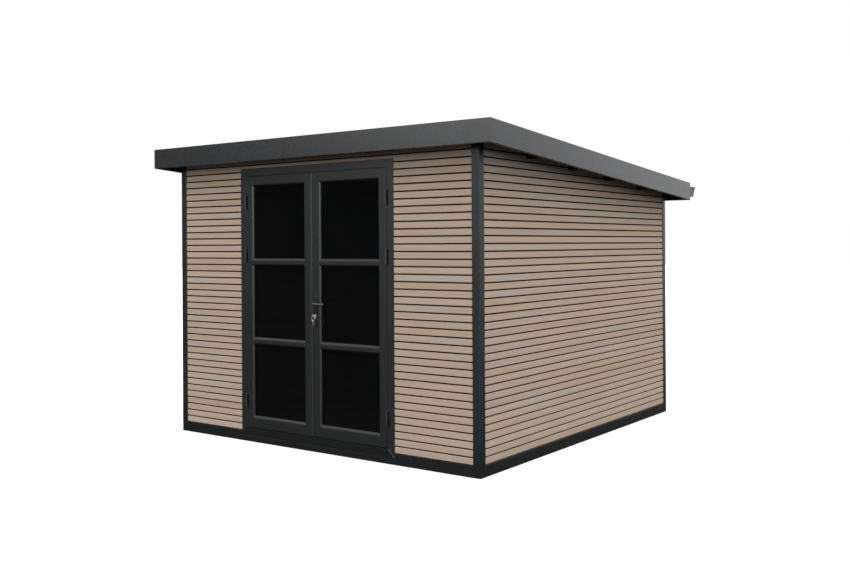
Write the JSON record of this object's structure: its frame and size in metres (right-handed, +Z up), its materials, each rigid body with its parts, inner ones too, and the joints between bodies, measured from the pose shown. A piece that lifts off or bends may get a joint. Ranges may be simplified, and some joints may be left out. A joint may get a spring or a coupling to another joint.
{
  "type": "garden house",
  "caption": "Square garden house with a single-pitch roof, wide dark fascia, horizontal slatted walls, corner posts and a glazed double door with lever handle.",
  "frame": {"origin": "ground level in the middle of the wall footprint, on the underside of the middle floor bearer", "axes": "+Z up, -Y towards the front with the double door, roof falls towards +Y, +X to the right seen from the front"},
  "size_m": [3.36, 3.423, 2.332],
  "materials": {
    "frame_black": "fine matt powder coat, anthracite black",
    "wall_slats": "brushed wood-composite slats, greyed teak brown, dark joints",
    "floor_boards": "planed softwood boards",
    "timber": "planed softwood, stained dark outside",
    "roof_boards": "planed softwood boards",
    "roof_covering": "dark roofing membrane with lapped seams",
    "fascia_grey": "matt anthracite grey sheet metal",
    "door_black": "matt anthracite black",
    "glass": "sealed clear glazing, dark in reflection",
    "hinges": "satin black",
    "handle_black": "satin black",
    "brass": "turned brass",
    "key_steel": "nickel-plated"
  },
  "bodies": {
    "house": {"base_rail_front": "frame_black", "base_rail_back": "frame_black", "base_rail_left": "frame_black", "base_rail_right": "frame_black", "floor_bearers": "timber", "floor_boards": "floor_boards", "post_front_left": "frame_black", "post_front_right": "frame_black", "post_back_left": "frame_black", "post_back_right": "frame_black", "front_wall_left": "wall_slats", "front_wall_right": "wall_slats", "front_wall_over_door": "wall_slats", "left_wall": "wall_slats", "right_wall": "wall_slats", "left_wall_top": "wall_slats", "right_wall_top": "wall_slats", "back_wall": "wall_slats", "door_frame_left": "door_black", "door_frame_right": "door_black", "door_frame_head": "door_black", "door_frame_sill": "door_black", "purlins": "timber", "roof_boards": "roof_boards", "roof_covering": "roof_covering", "fascia_front": "fascia_grey", "fascia_back": "fascia_grey", "fascia_left": "fascia_grey", "fascia_right": "fascia_grey", "drip_edge": "fascia_grey", "gutter": "fascia_grey", "downpipe": "fascia_grey", "downpipe_clips": "fascia_grey", "frame_hinges": "hinges"},
    "door_left": {"left_door_stiles": "door_black", "left_door_rails": "door_black", "left_door_glass": "glass", "left_door_hinges": "hinges"},
    "door_right": {"right_door_stiles": "door_black", "right_door_rails": "door_black", "right_door_glass": "glass", "right_door_hinges": "hinges", "handle_plates": "handle_black", "lock_cylinders": "brass", "keys": "key_steel"},
    "handle": {"levers": "handle_black"}
  },
  "joints": [
    {"name": "door_left_swing", "type": "hinge", "parent": "house", "child": "door_left", "pos_m": [-0.7145, -1.5085, 0.112], "axis": [0, 0, -1], "range_deg": [0, 110]},
    {"name": "door_right_swing", "type": "hinge", "parent": "house", "child": "door_right", "pos_m": [0.7145, -1.5085, 0.112], "axis": [0, 0, 1], "range_deg": [0, 110]},
    {"name": "lever_turn", "type": "hinge", "parent": "door_right", "child": "handle", "pos_m": [0.034, -1.5, 1.096], "axis": [0, 1, 0], "range_deg": [0, 45], "stiffness_Nm_per_rad": 1.2, "springref_deg": -28.65}
  ]
}
